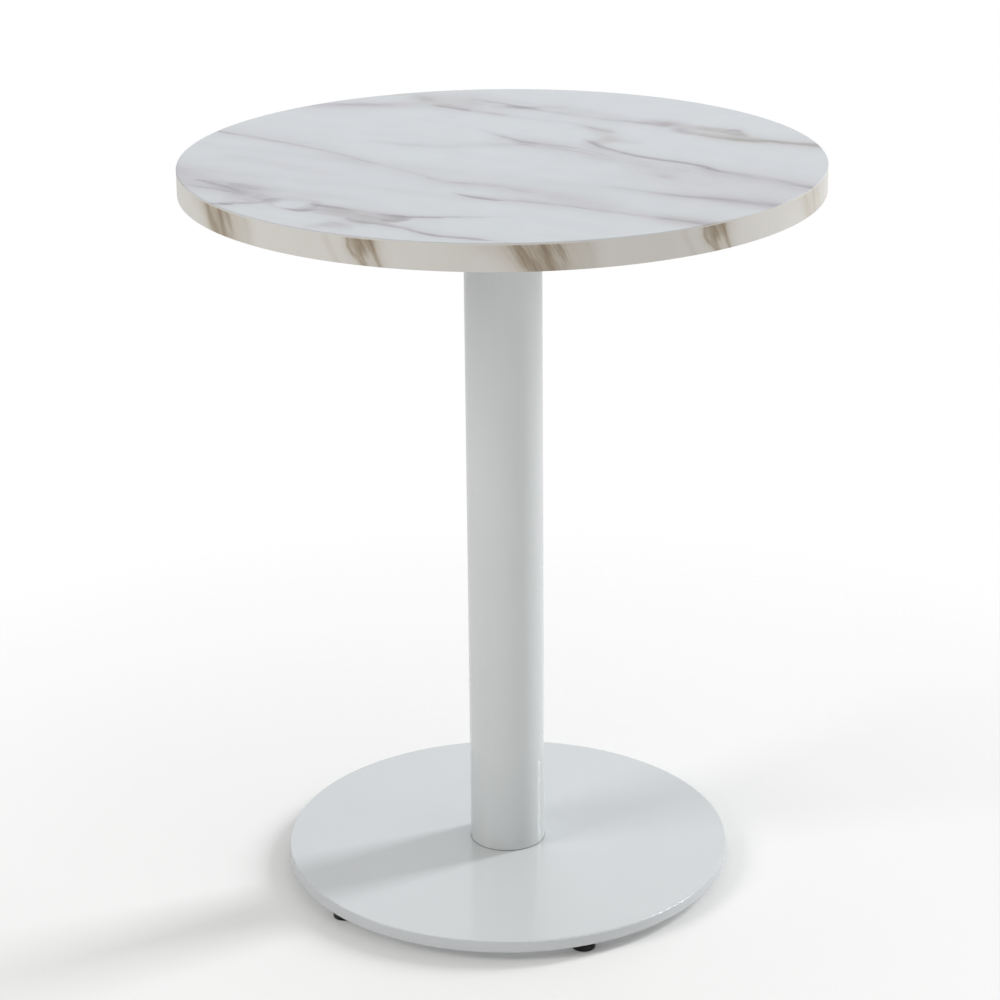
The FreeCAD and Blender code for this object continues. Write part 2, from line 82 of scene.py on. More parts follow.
class Nodes:
    """A material's node tree. Each method adds nodes and returns the output socket."""

    def __init__(self, name):
        self.material = bpy.data.materials.new(name)
        self.material.use_nodes = True
        self.tree = self.material.node_tree
        self.shader = self.tree.nodes["Principled BSDF"]
        self.output = self.tree.nodes["Material Output"]

    def put(self, socket, value):
        """Links a socket, or sets a plain value."""
        if isinstance(value, bpy.types.NodeSocket):
            self.tree.links.new(value, socket)
        else:
            socket.default_value = value

    def add(self, kind, inputs, output=0, **settings):
        node = self.tree.nodes.new(kind)
        for name, setting in settings.items():
            setattr(node, name, setting)
        for key, value in inputs.items():
            self.put(node.inputs[key], value)
        return node.outputs[output]

    def math(self, operation, *values, clamp=False):
        inputs = dict(enumerate(values))
        return self.add("ShaderNodeMath", inputs, operation=operation, use_clamp=clamp)

    def vector(self, operation, *values, output=0):
        inputs = dict(enumerate(values))
        return self.add("ShaderNodeVectorMath", inputs, output, operation=operation)

    def spread(self, value, low, high, to_low, to_high):
        """Maps low..high to to_low..to_high, held at both ends."""
        inputs = {0: value, 1: low, 2: high, 3: to_low, 4: to_high}
        return self.add("ShaderNodeMapRange", inputs)

    def vary(self, noise, low, high):
        """Noise as low..high, from the middle of its range, where nearly all of it lies."""
        return self.spread(noise, *NOISE_MIDDLE, low, high)

    def mix(self, share, first, second):
        node = self.tree.nodes.new("ShaderNodeMix")
        node.data_type = "RGBA"
        node.clamp_factor = True
        self.put(node.inputs["Factor"], share)
        self.put(node.inputs[6], first)
        self.put(node.inputs[7], second)
        return node.outputs[2]

    def noise(self, place, size, detail=2.0, roughness=0.5, colour=False):
        """Noise whose lumps are about that many millimetres across, 0 to 1 round 0.5."""
        inputs = {"Vector": place, "Scale": 1 / size, "Detail": detail, "Roughness": roughness}
        return self.add("ShaderNodeTexNoise", inputs, 1 if colour else 0)

    def curve(self, value, points):
        """A curve through given (x, y) points, both 0 to 1, held at both ends."""
        node = self.tree.nodes.new("ShaderNodeFloatCurve")
        node.mapping.extend = "HORIZONTAL"
        line = node.mapping.curves[0]
        line.points[0].location = points[0]
        line.points[1].location = points[-1]
        for x, y in points[1:-1]:
            line.points.new(x, y)
        node.mapping.update()
        self.put(node.inputs["Value"], value)
        return node.outputs[0]

    def place(self):
        """Where the surface is in the row frame, in millimetres."""
        here = self.add("ShaderNodeTexCoord", {}, "Object")
        return self.vector("MULTIPLY", here, (1 / MM,) * 3)

    def turned(self, place, angle, shrink=(1, 1, 1)):
        """The place turned about Z, then scaled."""
        inputs = {"Vector": place, "Rotation": (0, 0, angle), "Scale": (1, 1, 1)}
        turned = self.add("ShaderNodeMapping", inputs)
        return self.vector("MULTIPLY", turned, shrink)

    def separate(self, vector):
        node = self.tree.nodes.new("ShaderNodeSeparateXYZ")
        self.put(node.inputs[0], vector)
        return tuple(node.outputs)

    def combine(self, x, y, z):
        return self.add("ShaderNodeCombineXYZ", {0: x, 1: y, 2: z})

    def warped(self, place, size, amount, detail=2.0):
        """The place pushed about in the XY plane by noise."""
        push = self.noise(place, size, detail, colour=True)
        push = self.vector("SUBTRACT", push, (0.5, 0.5, 0.5))
        push = self.vector("MULTIPLY", push, (2 * amount, 2 * amount, 0))
        return self.vector("ADD", place, push)

    def bump(self, height, depth):
        """Relief of that many millimetres where the height goes from 0 to 1."""
        inputs = {"Strength": 1.0, "Distance": depth * MM, "Height": height}
        self.put(self.shader.inputs["Normal"], self.add("ShaderNodeBump", inputs))

    def finish(self, colour, roughness, **constants):
        self.put(self.shader.inputs["Base Color"], colour)
        self.put(self.shader.inputs["Roughness"], roughness)
        for name, value in constants.items():
            self.shader.inputs[name.replace("_", " ")].default_value = value
        return self.material


# ---------------------------------------------------------------- marble on the top

# How dark a vein is across its width: x 0 to 1 is PROFILE_SPAN widths either side of its line.
PROFILE_SPAN = 6
PROFILES = {
    "fine": [(0, 0), (0.2, 0.05), (0.34, 0.18), (0.42, 0.42), (0.465, 0.8), (0.5, 1),
             (0.535, 0.8), (0.6, 0.42), (0.68, 0.18), (0.82, 0.05), (1, 0)],
    "band": [(0, 0), (0.28, 0.05), (0.38, 0.3), (0.43, 0.85), (0.47, 1), (0.52, 0.8),
             (0.57, 0.9), (0.62, 0.45), (0.72, 0.1), (1, 0)],
    "haze": [(0, 0), (0.2, 0.12), (0.36, 0.5), (0.5, 1), (0.64, 0.5), (0.8, 0.12), (1, 0)],
    "fill": [(0, 0), (0.2, 0.1), (0.32, 0.6), (0.42, 0.95), (0.5, 1), (0.58, 0.95),
             (0.7, 0.6), (0.82, 0.15), (1, 0)],
}

# Veins in millimetres, X to the right and Y away from a person in front of the table.
# Each point is (x, y, darkness, width).
GREY_VEINS = [
    # the long line from the left rim to the middle of the front
    ("fine", [(-300, 132, 1, 4), (-245, 98, 0.95, 3.5), (-200, 62, 0.8, 3.2),
              (-160, 28, 0.6, 3.2), (-130, -5, 0.5, 3.2), (-95, -42, 0.35, 3.6),
              (-70, -68, 0.5, 3.8), (-55, -86, 0.6, 4.2), (-37, -94, 0.6, 5),
              (-10, -106, 0.45, 5.8), (8, -116, 0.45, 5.8), (40, -140, 0.3, 6.2),
              (85, -175, 0, 7.5)]),
    ("haze", [(-330, 170, 0.25, 9.6), (-200, 70, 0.3, 9.6), (-80, -65, 0.3, 9.6),
              (0, -112, 0.5, 10.8), (60, -150, 0.4, 10.8), (110, -180, 0, 10.8)]),
    # the front line
    ("fine", [(-46, -128, 0, 2.5), (-40, -134, 0.7, 2.8), (-26, -146, 1.3, 3.8),
              (-11, -155, 1.2, 4), (5, -160, 0.7, 4), (25, -166, 0.5, 4.2),
              (60, -182, 0.5, 4.5), (98, -204, 0.5, 4.8), (130, -222, 0.8, 5),
              (152, -234, 1.1, 5.5), (175, -246, 0.9, 5.5), (210, -262, 0.8, 5.5)]),
    ("haze", [(-30, -150, 0.2, 6), (30, -165, 0.4, 7.2), (100, -200, 0.35, 7.2),
              (160, -232, 0.45, 8.4), (230, -270, 0.45, 9.6)]),
    # the short line at the front right
    ("fine", [(84, -108, 0, 2.5), (100, -118, 0.5, 3), (127, -132, 0.5, 3.5),
              (150, -146, 0.9, 4.2), (166, -153, 1, 4.6), (200, -166, 0.6, 5.4),
              (228, -181, 0.6, 5.8), (262, -202, 0.5, 6)]),
    ("haze", [(110, -128, 0.2, 6), (170, -155, 0.45, 7.2), (230, -185, 0.6, 8),
              (275, -208, 0.6, 8)]),
    # the strong line that leaves the middle for the right rim
    ("fine", [(76, 76, 0, 3), (82, 62, 1.1, 4.2), (87, 53, 1.6, 4.4), (92, 43, 1.5, 4),
              (103, 28, 1.15, 4), (112, 16, 1.35, 4.2), (124, 3, 1.4, 4.4),
              (142, -11, 1.4, 4.4), (162, -24, 1.7, 4.6), (180, -38, 1.6, 4.2),
              (192, -54, 1.2, 4), (206, -66, 0.6, 4.6), (228, -83, 0.4, 5.4),
              (256, -106, 0.4, 5.4), (300, -145, 0.6, 5.4)]),
    ("haze", [(72, 60, 0, 4), (82, 46, 0.4, 5), (98, 24, 0.4, 5), (118, 2, 0, 4)]),
    ("haze", [(150, -30, 0, 5), (192, -62, 0.4, 7), (225, -86, 0.55, 8.4),
              (262, -112, 0.45, 8.4), (310, -155, 0.5, 8.4)]),
    # its paler neighbour, broad in the middle
    ("fine", [(-24, 120, 0, 3.4), (-12, 104, 0.5, 4), (-2, 90, 0.9, 4.4), (10, 76, 0.7, 4.6),
              (18, 65, 0.7, 4.6), (32, 57, 0.4, 4.4), (50, 47, 0.3, 4), (72, 32, 0, 4)]),
    ("haze", [(-8, 84, 0, 6), (20, 64, 0.5, 8), (45, 46, 0.6, 9.4), (64, 28, 0.6, 9.6),
              (80, 10, 0.5, 9.6), (98, -10, 0.45, 10), (125, -33, 0.4, 10),
              (160, -58, 0.25, 11), (210, -95, 0, 11)]),
    ("band", [(10, 62, 0, 5), (40, 44, 0.35, 6.5), (70, 24, 0.35, 7), (98, -6, 0.3, 7.5),
              (140, -38, 0.3, 6.9), (180, -62, 0, 5.8)]),
    ("haze", [(-135, 78, 0, 2.4), (-105, 64, 0.4, 3.1), (-88, 54, 0.6, 3.4),
              (-55, 48, 0.4, 4.4), (-25, 52, 0.5, 5.4), (5, 51, 0.45, 5.4), (34, 44, 0, 5)]),
    # strands at the back
    ("fine", [(-34, 253, 0, 3), (-20, 243, 0.6, 4.2), (-2, 233, 0.65, 4.4), (10, 222, 0.7, 4.8),
              (20, 213, 0.85, 5.4), (27, 209, 0.75, 5.2), (40, 196, 0.5, 4.8), (52, 188, 0.5, 4.5),
              (90, 160, 0.4, 5), (128, 143, 0.6, 5.4), (150, 132, 0.4, 5), (164, 124, 0, 4)]),
    ("haze", [(-12, 214, 0, 4), (6, 214, 0.6, 4.4), (22, 213, 0.6, 4.4), (52, 212, 0.35, 4.4),
              (72, 208, 0, 4)]),
    ("haze", [(-96, 266, 0, 11), (-52, 250, 0.45, 14), (0, 228, 0.35, 14), (50, 200, 0.45, 12),
              (110, 158, 0.5, 8), (140, 140, 0.5, 7), (166, 128, 0, 6)]),
    ("fine", [(-72, 228, 0, 3), (-61, 220, 1.2, 4.6), (-50, 214, 1.7, 5), (-40, 207, 1.8, 5),
              (-32, 200, 1.1, 4.4), (-22, 193, 0.7, 4), (-8, 184, 0.9, 4.2), (2, 177, 0.6, 3.6),
              (15, 169, 0.35, 3.5), (38, 156, 0.3, 3.8), (68, 138, 0.5, 4.2), (84, 124, 1, 4.4),
              (92, 113, 1.2, 4.6), (101, 104, 1.1, 4.6), (108, 96, 0, 4)]),
    ("haze", [(98, 84, 0, 3.4), (106, 70, 0.7, 4), (114, 62, 0.6, 4), (126, 54, 0.3, 4),
              (138, 46, 0, 3.6)]),
    # the loop at the right
    ("fill", [(140, 146, 0, 4), (150, 138, 0.35, 5), (164, 128, 0.85, 6.6), (182, 117, 0.55, 5),
              (202, 109, 0.3, 3.4), (216, 103, 0, 2.6)]),
    ("fine", [(206, 92, 0, 3), (213, 98, 1.1, 4.2), (222, 102, 1.7, 4.6), (227, 95, 1.6, 4.6),
              (230, 84, 1.6, 4), (233, 76, 0, 3)]),
    ("fill", [(162, 114, 0, 2.4), (166, 108, 0.6, 3.2), (172, 101, 1.1, 3.4), (178, 94, 1, 3),
              (190, 86, 0.5, 2.4), (202, 79, 0, 2.4)]),
    ("fine", [(205, 76, 0, 4), (230, 60, 0.4, 4.6), (262, 55, 0.7, 4.6), (278, 46, 1, 5),
              (312, 38, 1, 5.4)]),
    # the back left smudge
    ("haze", [(-215, 222, 0.75, 6), (-172, 231, 0.85, 7.8), (-145, 230, 0.75, 7.8),
              (-118, 231, 0.85, 8.4), (-96, 230, 0.65, 8), (-72, 222, 0.3, 6.6),
              (-50, 216, 0, 5)]),
    ("fine", [(-180, 236, 0, 3.4), (-155, 234, 0.3, 4), (-142, 233, 0.3, 4), (-120, 232, 0.15, 4),
              (-104, 230, 0, 4)]),
    # the knot at the front left: strands, a ring round the clear spot, and its tail
    ("haze", [(-330, -8, 0.7, 12.5), (-284, -60, 0.8, 13.5), (-250, -93, 0.8, 12.5),
              (-224, -123, 0.7, 9.5), (-204, -146, 0.3, 6), (-190, -158, 0, 5)]),
    ("fine", [(-276, -72, 0, 3), (-268, -80, 0.6, 3.6), (-256, -92, 0.7, 3.8),
              (-244, -104, 0.7, 3.8), (-234, -118, 0.5, 3.8), (-222, -132, 0, 3.6)]),
    ("fine", [(-296, -86, 0.3, 3.6), (-284, -93, 0.5, 3.8), (-270, -101, 0.6, 3.8),
              (-254, -110, 0.5, 3.8), (-240, -122, 0.5, 3.8), (-226, -136, 0, 3.6)]),
    ("fill", [(-244, -128, 0, 4), (-228, -140, 0.45, 6), (-212, -150, 0.55, 5.4),
              (-202, -156, 0.5, 4), (-194, -162, 0, 3)]),
    ("fine", [(-268, -157, 0.8, 4.8), (-250, -161, 1.2, 5.4), (-240, -162, 1.7, 5.8),
              (-231, -161, 1.1, 5.4), (-214, -160, 0.6, 5), (-198, -160, 0, 4)]),
    ("haze", [(-212, -152, 0, 4), (-198, -147, 0.6, 4.6), (-184, -147, 0.6, 4.8),
              (-171, -153, 0.7, 4.8), (-163, -163, 0.8, 4.8), (-158, -175, 0, 4)]),
    ("fine", [(-204, -158, 0, 2.6), (-201, -168, 0.5, 3.6), (-193, -177, 0.8, 3.6),
              (-184, -184, 1.3, 3.6), (-174, -188, 1.5, 4), (-166, -188, 0.9, 4),
              (-157, -184, 0, 3.4)]),
    ("fill", [(-178, -178, 0, 4), (-166, -180, 0.8, 5), (-150, -187, 1, 5.8),
              (-134, -196, 0.9, 6.2), (-118, -210, 0.8, 7.2), (-102, -217, 0.8, 5.6),
              (-89, -220, 0.75, 4.2), (-78, -221, 0, 2.6)]),
    ("fine", [(-168, -160, 0, 3), (-160, -168, 0.8, 3.8), (-149, -176, 1.2, 4.2),
              (-136, -184, 0.6, 4), (-120, -194, 0.3, 3.8), (-108, -201, 0.6, 3.8),
              (-97, -206, 1.2, 3.8), (-84, -211, 1.9, 3.8), (-68, -214, 1.9, 3.7),
              (-47, -215, 1.2, 3.2), (-9, -215.5, 0.5, 2.4), (12, -216, 0, 2.4)]),
    ("fine", [(-136, -210, 0, 3.6), (-127, -224, 1, 4.6), (-118, -231, 1.3, 5.4),
              (-102, -236, 1.1, 6), (-86, -247, 1.1, 5.6), (-72, -261, 1.2, 4.6),
              (-60, -271, 1.6, 4.2), (-42, -279, 1.6, 4), (-26, -286, 1.5, 3.8),
              (-8, -294, 0.7, 3.4), (8, -302, 0.5, 3)]),
    ("fine", [(-104, -222, 0, 3), (-94, -224, 0.8, 4.6), (-86, -223, 0.6, 4), (-76, -220, 0, 3)]),
    ("haze", [(-170, -242, 0, 4), (-158, -239, 0.6, 5), (-144, -234, 1, 6.6),
              (-134, -238, 0.7, 5.6), (-124, -246, 0, 4)]),
    ("haze", [(-246, -84, 0, 5), (-222, -104, 0.4, 6), (-180, -124, 0.45, 6),
              (-140, -146, 0.3, 5), (-100, -172, 0, 4)]),
    # faint ones
    ("haze", [(130, -56, 0, 4.8), (141, -68, 0.3, 5), (147, -80, 0.4, 5), (154, -94, 0, 4.4)]),
    ("haze", [(-268, 30, 0, 3.6), (-245, 10, 0.3, 4.8), (-202, -22, 0.3, 5.3),
              (-165, -52, 0.2, 4.8), (-140, -66, 0, 3.6)]),
    ("haze", [(90, -40, 0, 14.4), (150, -80, 0.35, 24), (220, -125, 0.4, 26.4),
              (300, -175, 0.35, 26.4)]),
]
BROWN_VEINS = [
    ("haze", [(-118, 296, 0.6, 5), (-104, 282, 0.6, 5.6), (-90, 268, 0.6, 6),
              (-78, 251, 0.75, 6), (-70, 238, 0.6, 5.4), (-58, 224, 0.3, 4.6), (-44, 212, 0, 4)]),
    ("haze", [(-92, 272, 0, 10), (-56, 256, 0.55, 12), (-16, 238, 0.4, 10), (20, 222, 0, 7)]),
    ("haze", [(-70, 236, 0, 5), (-50, 228, 0.4, 6), (-28, 216, 0.4, 6), (-6, 202, 0, 5)]),
    ("fine", [(-66, 224, 0, 3.8), (-52, 214, 0.5, 5), (-34, 201, 0.3, 5), (-16, 189, 0.9, 4.6),
              (-4, 182, 0.7, 4.4), (8, 174, 0, 3.8)]),
    ("fill", [(84, 126, 0, 3), (92, 115, 0.6, 4), (98, 102, 0.75, 4.4), (100, 86, 0.6, 4.8),
              (100, 72, 0.7, 5), (98, 60, 0.75, 4.6), (93, 50, 0, 3)]),
    ("fill", [(132, 146, 0, 3.6), (146, 138, 0.75, 4.6), (158, 133, 0.7, 4.6), (176, 124, 0.6, 4),
              (196, 112, 0.9, 3.6), (210, 104, 0.9, 3.8), (220, 95, 1, 3.6), (228, 86, 0.7, 3),
              (236, 78, 0, 2.4)]),
    ("haze", [(172, 106, 0, 4), (188, 98, 0.6, 5.4), (206, 88, 0.65, 5.4), (226, 78, 0.6, 5),
              (250, 64, 0.4, 5), (272, 54, 0, 4)]),
    ("fine", [(168, 106, 0, 3.6), (180, 92, 0.7, 4.4), (196, 81, 0.9, 5), (214, 70, 1.1, 5.4),
              (236, 58, 1, 5.4), (262, 53, 0.9, 5), (284, 42, 1.1, 5.8), (326, 26, 1.2, 6.2)]),
    ("haze", [(186, 84, 0, 5.6), (214, 67, 0.6, 7), (246, 54, 0.6, 7.4), (276, 42, 0.6, 7.4),
              (326, 20, 0.7, 7.8)]),
    ("haze", [(150, -140, 0, 7), (182, -158, 0.6, 6.4), (202, -167, 0.6, 6.4),
              (236, -184, 0.2, 6.4), (262, -198, 0.1, 6.4)]),
    ("haze", [(25, -125, 0, 7.2), (60, -148, 0.3, 8.4), (85, -172, 0.3, 7.2), (105, -190, 0, 6)]),
    ("fill", [(-176, -178, 0, 4), (-160, -182, 0.35, 5), (-136, -197, 0.9, 6),
              (-116, -211, 0.9, 6.6), (-98, -219, 0.8, 5), (-80, -221, 0, 3)]),
    ("haze", [(-165, -238, 0, 4.8), (-148, -238, 0.4, 5), (-134, -243, 0.4, 4.8),
              (-124, -252, 0, 3.6)]),
    ("haze", [(-310, -70, 0.35, 7), (-266, -94, 0.35, 7), (-228, -128, 0.35, 6),
              (-200, -155, 0, 5)]),
    ("haze", [(124, -218, 0, 6), (156, -236, 0.6, 6.4), (200, -260, 0.6, 6.4)]),
]
# The ground and its clouds, and the veins' soft parts and cores.
TOP_GROUND = paint(208, 212, 215)
TOP_CLOUD = paint(207, 206, 213)
GREY_SOFT = paint(179, 173, 180)
GREY_CORE = paint(114, 118, 124)
BROWN_SOFT = paint(176, 169, 165)
BROWN_CORE = paint(116, 117, 111)
# How dark a vein is where its core's colour starts and is full, and how much of it is taken.
TOP_CORE_RANGE = (0.8, 2.2)
TOP_CORE_SHARE = 0.6
# The clear spot between strands, in millimetres, and what is left of the veins in it.
EYE_CENTRE = (-186, -167)
EYE_RADII = (12.5, 10.5)
EYE_LEFT = 0.12
# Which way the top's fibres run, and how many times longer than wide they are.
TOP_GRAIN = math.radians(36)
TOP_GRAIN_STRETCH = 9
# How many times longer than wide a banded vein's fibres are, and how wide, in millimetres.
BAND_FIBRE_STRETCH = 14
BAND_FIBRE_WIDTH = 3.2


def vein(nodes, place, profile, points):
    """How dark one vein makes each place, from its given points."""
    start = Vector(points[0][:2])
    run = Vector(points[-1][:2]) - start
    steps = [Vector(point[:2]) - start for point in points]
    along = [step.dot(run) / run.length_squared for step in steps]
    across = [(run.x * step.y - run.y * step.x) / run.length for step in steps]
    reach = max(map(abs, across)) + 1
    widest = max(point[3] for point in points)

    # the vein's own frame: 0 to 1 along its chord, and millimetres across, counted from -reach
    corner = start - Vector((-run.y, run.x)) * reach / run.length
    own = nodes.add("ShaderNodeMapping", {
        "Vector": place, "Location": (corner.x, corner.y, 0),
        "Rotation": (0, 0, math.atan2(run.y, run.x)), "Scale": (run.length, 1, 1),
    }, vector_type="TEXTURE")
    u, v, _ = nodes.separate(own)
    line = nodes.curve(u, [(a, 0.5 + c / (2 * reach)) for a, c in zip(along, across)])
    width = nodes.curve(u, [(a, p[3] / widest) for a, p in zip(along, points)])
    dark = nodes.curve(u, [(a, p[2]) for a, p in zip(along, points)])

    off = nodes.math("MULTIPLY_ADD", line, -2 * reach, v)
    if profile == "band":
        fibres = nodes.combine(nodes.math("MULTIPLY", u, run.length / BAND_FIBRE_STRETCH), off, 0)
        shade = nodes.noise(fibres, BAND_FIBRE_WIDTH, 2)
        dark = nodes.math("MULTIPLY", dark, nodes.spread(shade, 0.32, 0.62, 0.35, 1.25))
    off = nodes.math("DIVIDE", off, width)
    off = nodes.math("MULTIPLY_ADD", off, 1 / (2 * PROFILE_SPAN * widest), 0.5)
    return nodes.math("MULTIPLY", nodes.curve(off, PROFILES[profile]), dark)


def total(nodes, parts):
    """The sum of the parts."""
    whole = parts[0]
    for part in parts[1:]:
        whole = nodes.math("ADD", whole, part)
    return whole


def marble_laminate():
    """Satin laminate printed as white marble with grey-lilac and olive-brown veins."""
    nodes = Nodes("marble_laminate")
    place = nodes.place()
    here = nodes.turned(place, -PRINT_TURN)
    bent = nodes.warped(nodes.warped(here, 46, 3), 11, 1.3)

    grey = total(nodes, [vein(nodes, bent, *rest) for rest in GREY_VEINS])
    brown = total(nodes, [vein(nodes, bent, *rest) for rest in BROWN_VEINS])

    # a clear spot left between strands
    eye = nodes.vector("SUBTRACT", bent, (*EYE_CENTRE, 0))
    eye = nodes.vector("MULTIPLY", eye, (1 / EYE_RADII[0], 1 / EYE_RADII[1], 0))
    eye = nodes.vector("LENGTH", eye, output=1)
    clear = nodes.spread(eye, 0.75, 1.25, EYE_LEFT, 1)

    # fibres that run with the veins, and slow changes in strength
    grain = nodes.turned(bent, TOP_GRAIN, (1 / TOP_GRAIN_STRETCH, 1, 0))
    fibres = nodes.vary(nodes.noise(grain, 5, 4, 0.6), 0.75, 1.25)
    swell = nodes.spread(nodes.noise(here, 60, 2), 0.35, 0.65, 0.9, 1.1)
    strength = nodes.math("MULTIPLY", nodes.math("MULTIPLY", fibres, swell), clear)
    grey = nodes.math("MULTIPLY", grey, strength)
    brown = nodes.math("MULTIPLY", brown, strength)

    clouds = nodes.spread(nodes.noise(grain, 22, 3, 0.55), 0.4, 0.66, 0, 0.5)
    ground = nodes.mix(clouds, TOP_GROUND, TOP_CLOUD)
    soft = nodes.math("MULTIPLY", grey, 0.6, clamp=True)
    colour = nodes.mix(soft, ground, GREY_SOFT)
    core = nodes.spread(grey, *TOP_CORE_RANGE, 0, TOP_CORE_SHARE)
    colour = nodes.mix(core, colour, GREY_CORE)
    soft = nodes.math("MULTIPLY", brown, 0.45, clamp=True)
    colour = nodes.mix(soft, colour, BROWN_SOFT)
    core = nodes.spread(brown, *TOP_CORE_RANGE, 0, TOP_CORE_SHARE)
    colour = nodes.mix(core, colour, BROWN_CORE)

    pores = nodes.noise(place, 0.35, 2)
    nodes.bump(pores, 0.002)
    roughness = nodes.vary(nodes.noise(place, 30, 3), 0.4, 0.48)
    return nodes.finish(colour, roughness, Specular_IOR_Level=0.35)


# ---------------------------------------------------------------- marble on the edge

EDGE_REPEAT = math.radians(60)
EDGE_PHASE = math.radians(105)
# The print's streaks, flat: millimetres round the rim and up from its middle.
EDGE_VEINS = [
    ("fill", [(99, 16, 1.2, 7.6), (106, 0, 1.2, 7), (114, -16, 1.1, 6.6)]),
    ("fill", [(136, 16, 0.6, 6.5), (141, 0, 0.55, 6), (146, -16, 0.45, 5)]),
    ("haze", [(70, 16, 0.5, 9), (88, 2, 0.3, 6), (98, -12, 0, 5)]),
    ("fine", [(87, 16, 0.6, 5), (92, 6, 0.7, 5), (97, -2, 0.9, 5),
              (103, -8, 0.9, 5.2), (108, -16, 0.8, 5.4)]),
    ("fine", [(110, 16, 1.1, 3), (113, 7, 1.1, 3), (116, -1, 1, 3.2),
              (119, -10, 0.7, 3.4), (121, -16, 0.5, 3.6)]),
    ("fine", [(122, 16, 0.8, 4.4), (127, 5, 0.6, 4.4), (131, -5, 0.4, 4),
              (135, -16, 0.2, 4)]),
    ("fine", [(148, 16, 0.2, 3.6), (152, 2, 0.25, 3.6), (157, -16, 0.15, 3.6)]),
    ("fill", [(272, 16, 1.3, 5), (275, 4, 1.1, 4.8), (279, -5, 0.5, 3.6),
              (283, -16, 0.1, 2.8)]),
    ("fine", [(262, 16, 0.7, 3), (259, 8, 0.9, 3), (261, 1, 0.9, 3.2),
              (266, -5, 1.1, 3.4), (272, -11, 1.5, 3.6), (276, -16, 1.5, 3.6)]),
    ("fine", [(277, 16, 0.8, 2.8), (281, 5, 0.9, 3), (285, -4, 1, 2.8), (289, -14, 1.4, 2.6)]),
    ("fine", [(264, 16, 0.9, 2.8), (269, 6, 1, 2.8), (272, -2, 0.7, 2.6),
              (274, -10, 0.4, 2.6), (276, -16, 0.2, 2.6)]),
    ("haze", [(235, 15, 0.35, 1.6), (249, -12, 0.35, 1.6)]),
]
# How much further round the leftmost streaks are than an even repeat puts them, and between
# which angles that fades out.
EDGE_STRETCH = math.radians(2)
STRETCH_START = math.radians(-160)
STRETCH_END = math.radians(-112)
# Where the streaks are made paler, as they look in the photograph: the middle of that stretch, how
# far from it they are back to full strength, and what is left of them in it.
EDGE_PALE = math.radians(-23)
EDGE_PALE_REACH = math.radians(22)
EDGE_PALE_LEFT = 0.45
# The band's ground and its clouds, and the streaks' soft parts and cores.
EDGE_GROUND = paint(216, 214, 211)
EDGE_CLOUD = paint(214, 212, 208)
EDGE_SOFT = paint(178, 168, 151)
EDGE_CORE = paint(122, 101, 84)
EDGE_CORE_RANGE = (0.9, 2.4)
EDGE_CORE_SHARE = 0.7
# How far below the top the streaks start to fade and are nearly gone, in millimetres, and what is
# left of them there.
EDGE_FADE_START = 2.4
EDGE_FADE_END = 1.2
EDGE_FADE_LEFT = 0.1
# How far the streaks' fibres lean.
EDGE_GRAIN = math.radians(62)


def marble_edging():
    """Printed edge band: warm white with leaning olive-brown streaks that repeat."""
    nodes = Nodes("marble_edging")
    place = nodes.place()
    here = nodes.turned(place, -PRINT_TURN)
    x, y, z = nodes.separate(here)
    low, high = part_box("edge_band")
    rim = high.x / MM
    middle = (low.z + high.z) / 2 / MM

    angle = nodes.math("ARCTAN2", y, x)
    stretch = nodes.spread(angle, STRETCH_START, STRETCH_END, EDGE_STRETCH, 0)
    turn = nodes.math("ADD", nodes.math("ADD", angle, stretch), EDGE_PHASE)
    arc = nodes.math("MULTIPLY", nodes.math("FLOORED_MODULO", turn, EDGE_REPEAT), rim)
    flat = nodes.combine(arc, nodes.math("SUBTRACT", z, middle), 0)
    bent = nodes.warped(nodes.warped(flat, 9, 1.6), 2.5, 0.4)
    dark = total(nodes, [vein(nodes, bent, *rest) for rest in EDGE_VEINS])

    # fibres along the streaks, and the pale stretch
    grain = nodes.turned(bent, EDGE_GRAIN, (0.12, 1, 0))
    strands = nodes.noise(grain, 2.6, 4, 0.6)
    dark = nodes.math("MULTIPLY", dark, nodes.vary(strands, 0.75, 1.25))
    away = nodes.math("ABSOLUTE", nodes.math("SUBTRACT", angle, EDGE_PALE))
    pale = nodes.spread(away, EDGE_PALE_REACH / 3, EDGE_PALE_REACH, EDGE_PALE_LEFT, 1)
    dark = nodes.math("MULTIPLY", dark, pale)
    top = high.z / MM
    fade = nodes.spread(z, top - EDGE_FADE_START, top - EDGE_FADE_END, 1, EDGE_FADE_LEFT)
    dark = nodes.math("MULTIPLY", dark, fade)

    clouds = nodes.noise(nodes.vector("MULTIPLY", flat, (1, 0.4, 0)), 26, 3)
    ground = nodes.mix(nodes.spread(clouds, 0.35, 0.65, 0, 1), EDGE_GROUND, EDGE_CLOUD)
    soft = nodes.math("MULTIPLY", dark, 0.6, clamp=True)
    colour = nodes.mix(soft, ground, EDGE_SOFT)
    core = nodes.spread(dark, *EDGE_CORE_RANGE, 0, EDGE_CORE_SHARE)
    colour = nodes.mix(core, colour, EDGE_CORE)
    nodes.bump(nodes.noise(place, 0.5, 2), 0.002)
    roughness = nodes.vary(nodes.noise(place, 20, 3), 0.36, 0.44)
    return nodes.finish(colour, roughness, Specular_IOR_Level=0.4)


# ---------------------------------------------------------------- the other materials

# The line of dust and painted contact shade at the weld: how far it reaches in full and at all,
# in millimetres, and how strong it is.
DUST_AND_SHADE_FULL = 0.2
DUST_AND_SHADE_REACH = 1.1
DUST_AND_SHADE_STRENGTH = 0.5
# Painted shade on the plate's rim: how far in from the rim the coat starts to turn greyer and has
# done so, in millimetres, and how much of that greyer colour it takes.
RIM_PAINTED_SHADE_START = 0.5
RIM_PAINTED_SHADE_END = 0.1
RIM_PAINTED_SHADE = 0.8


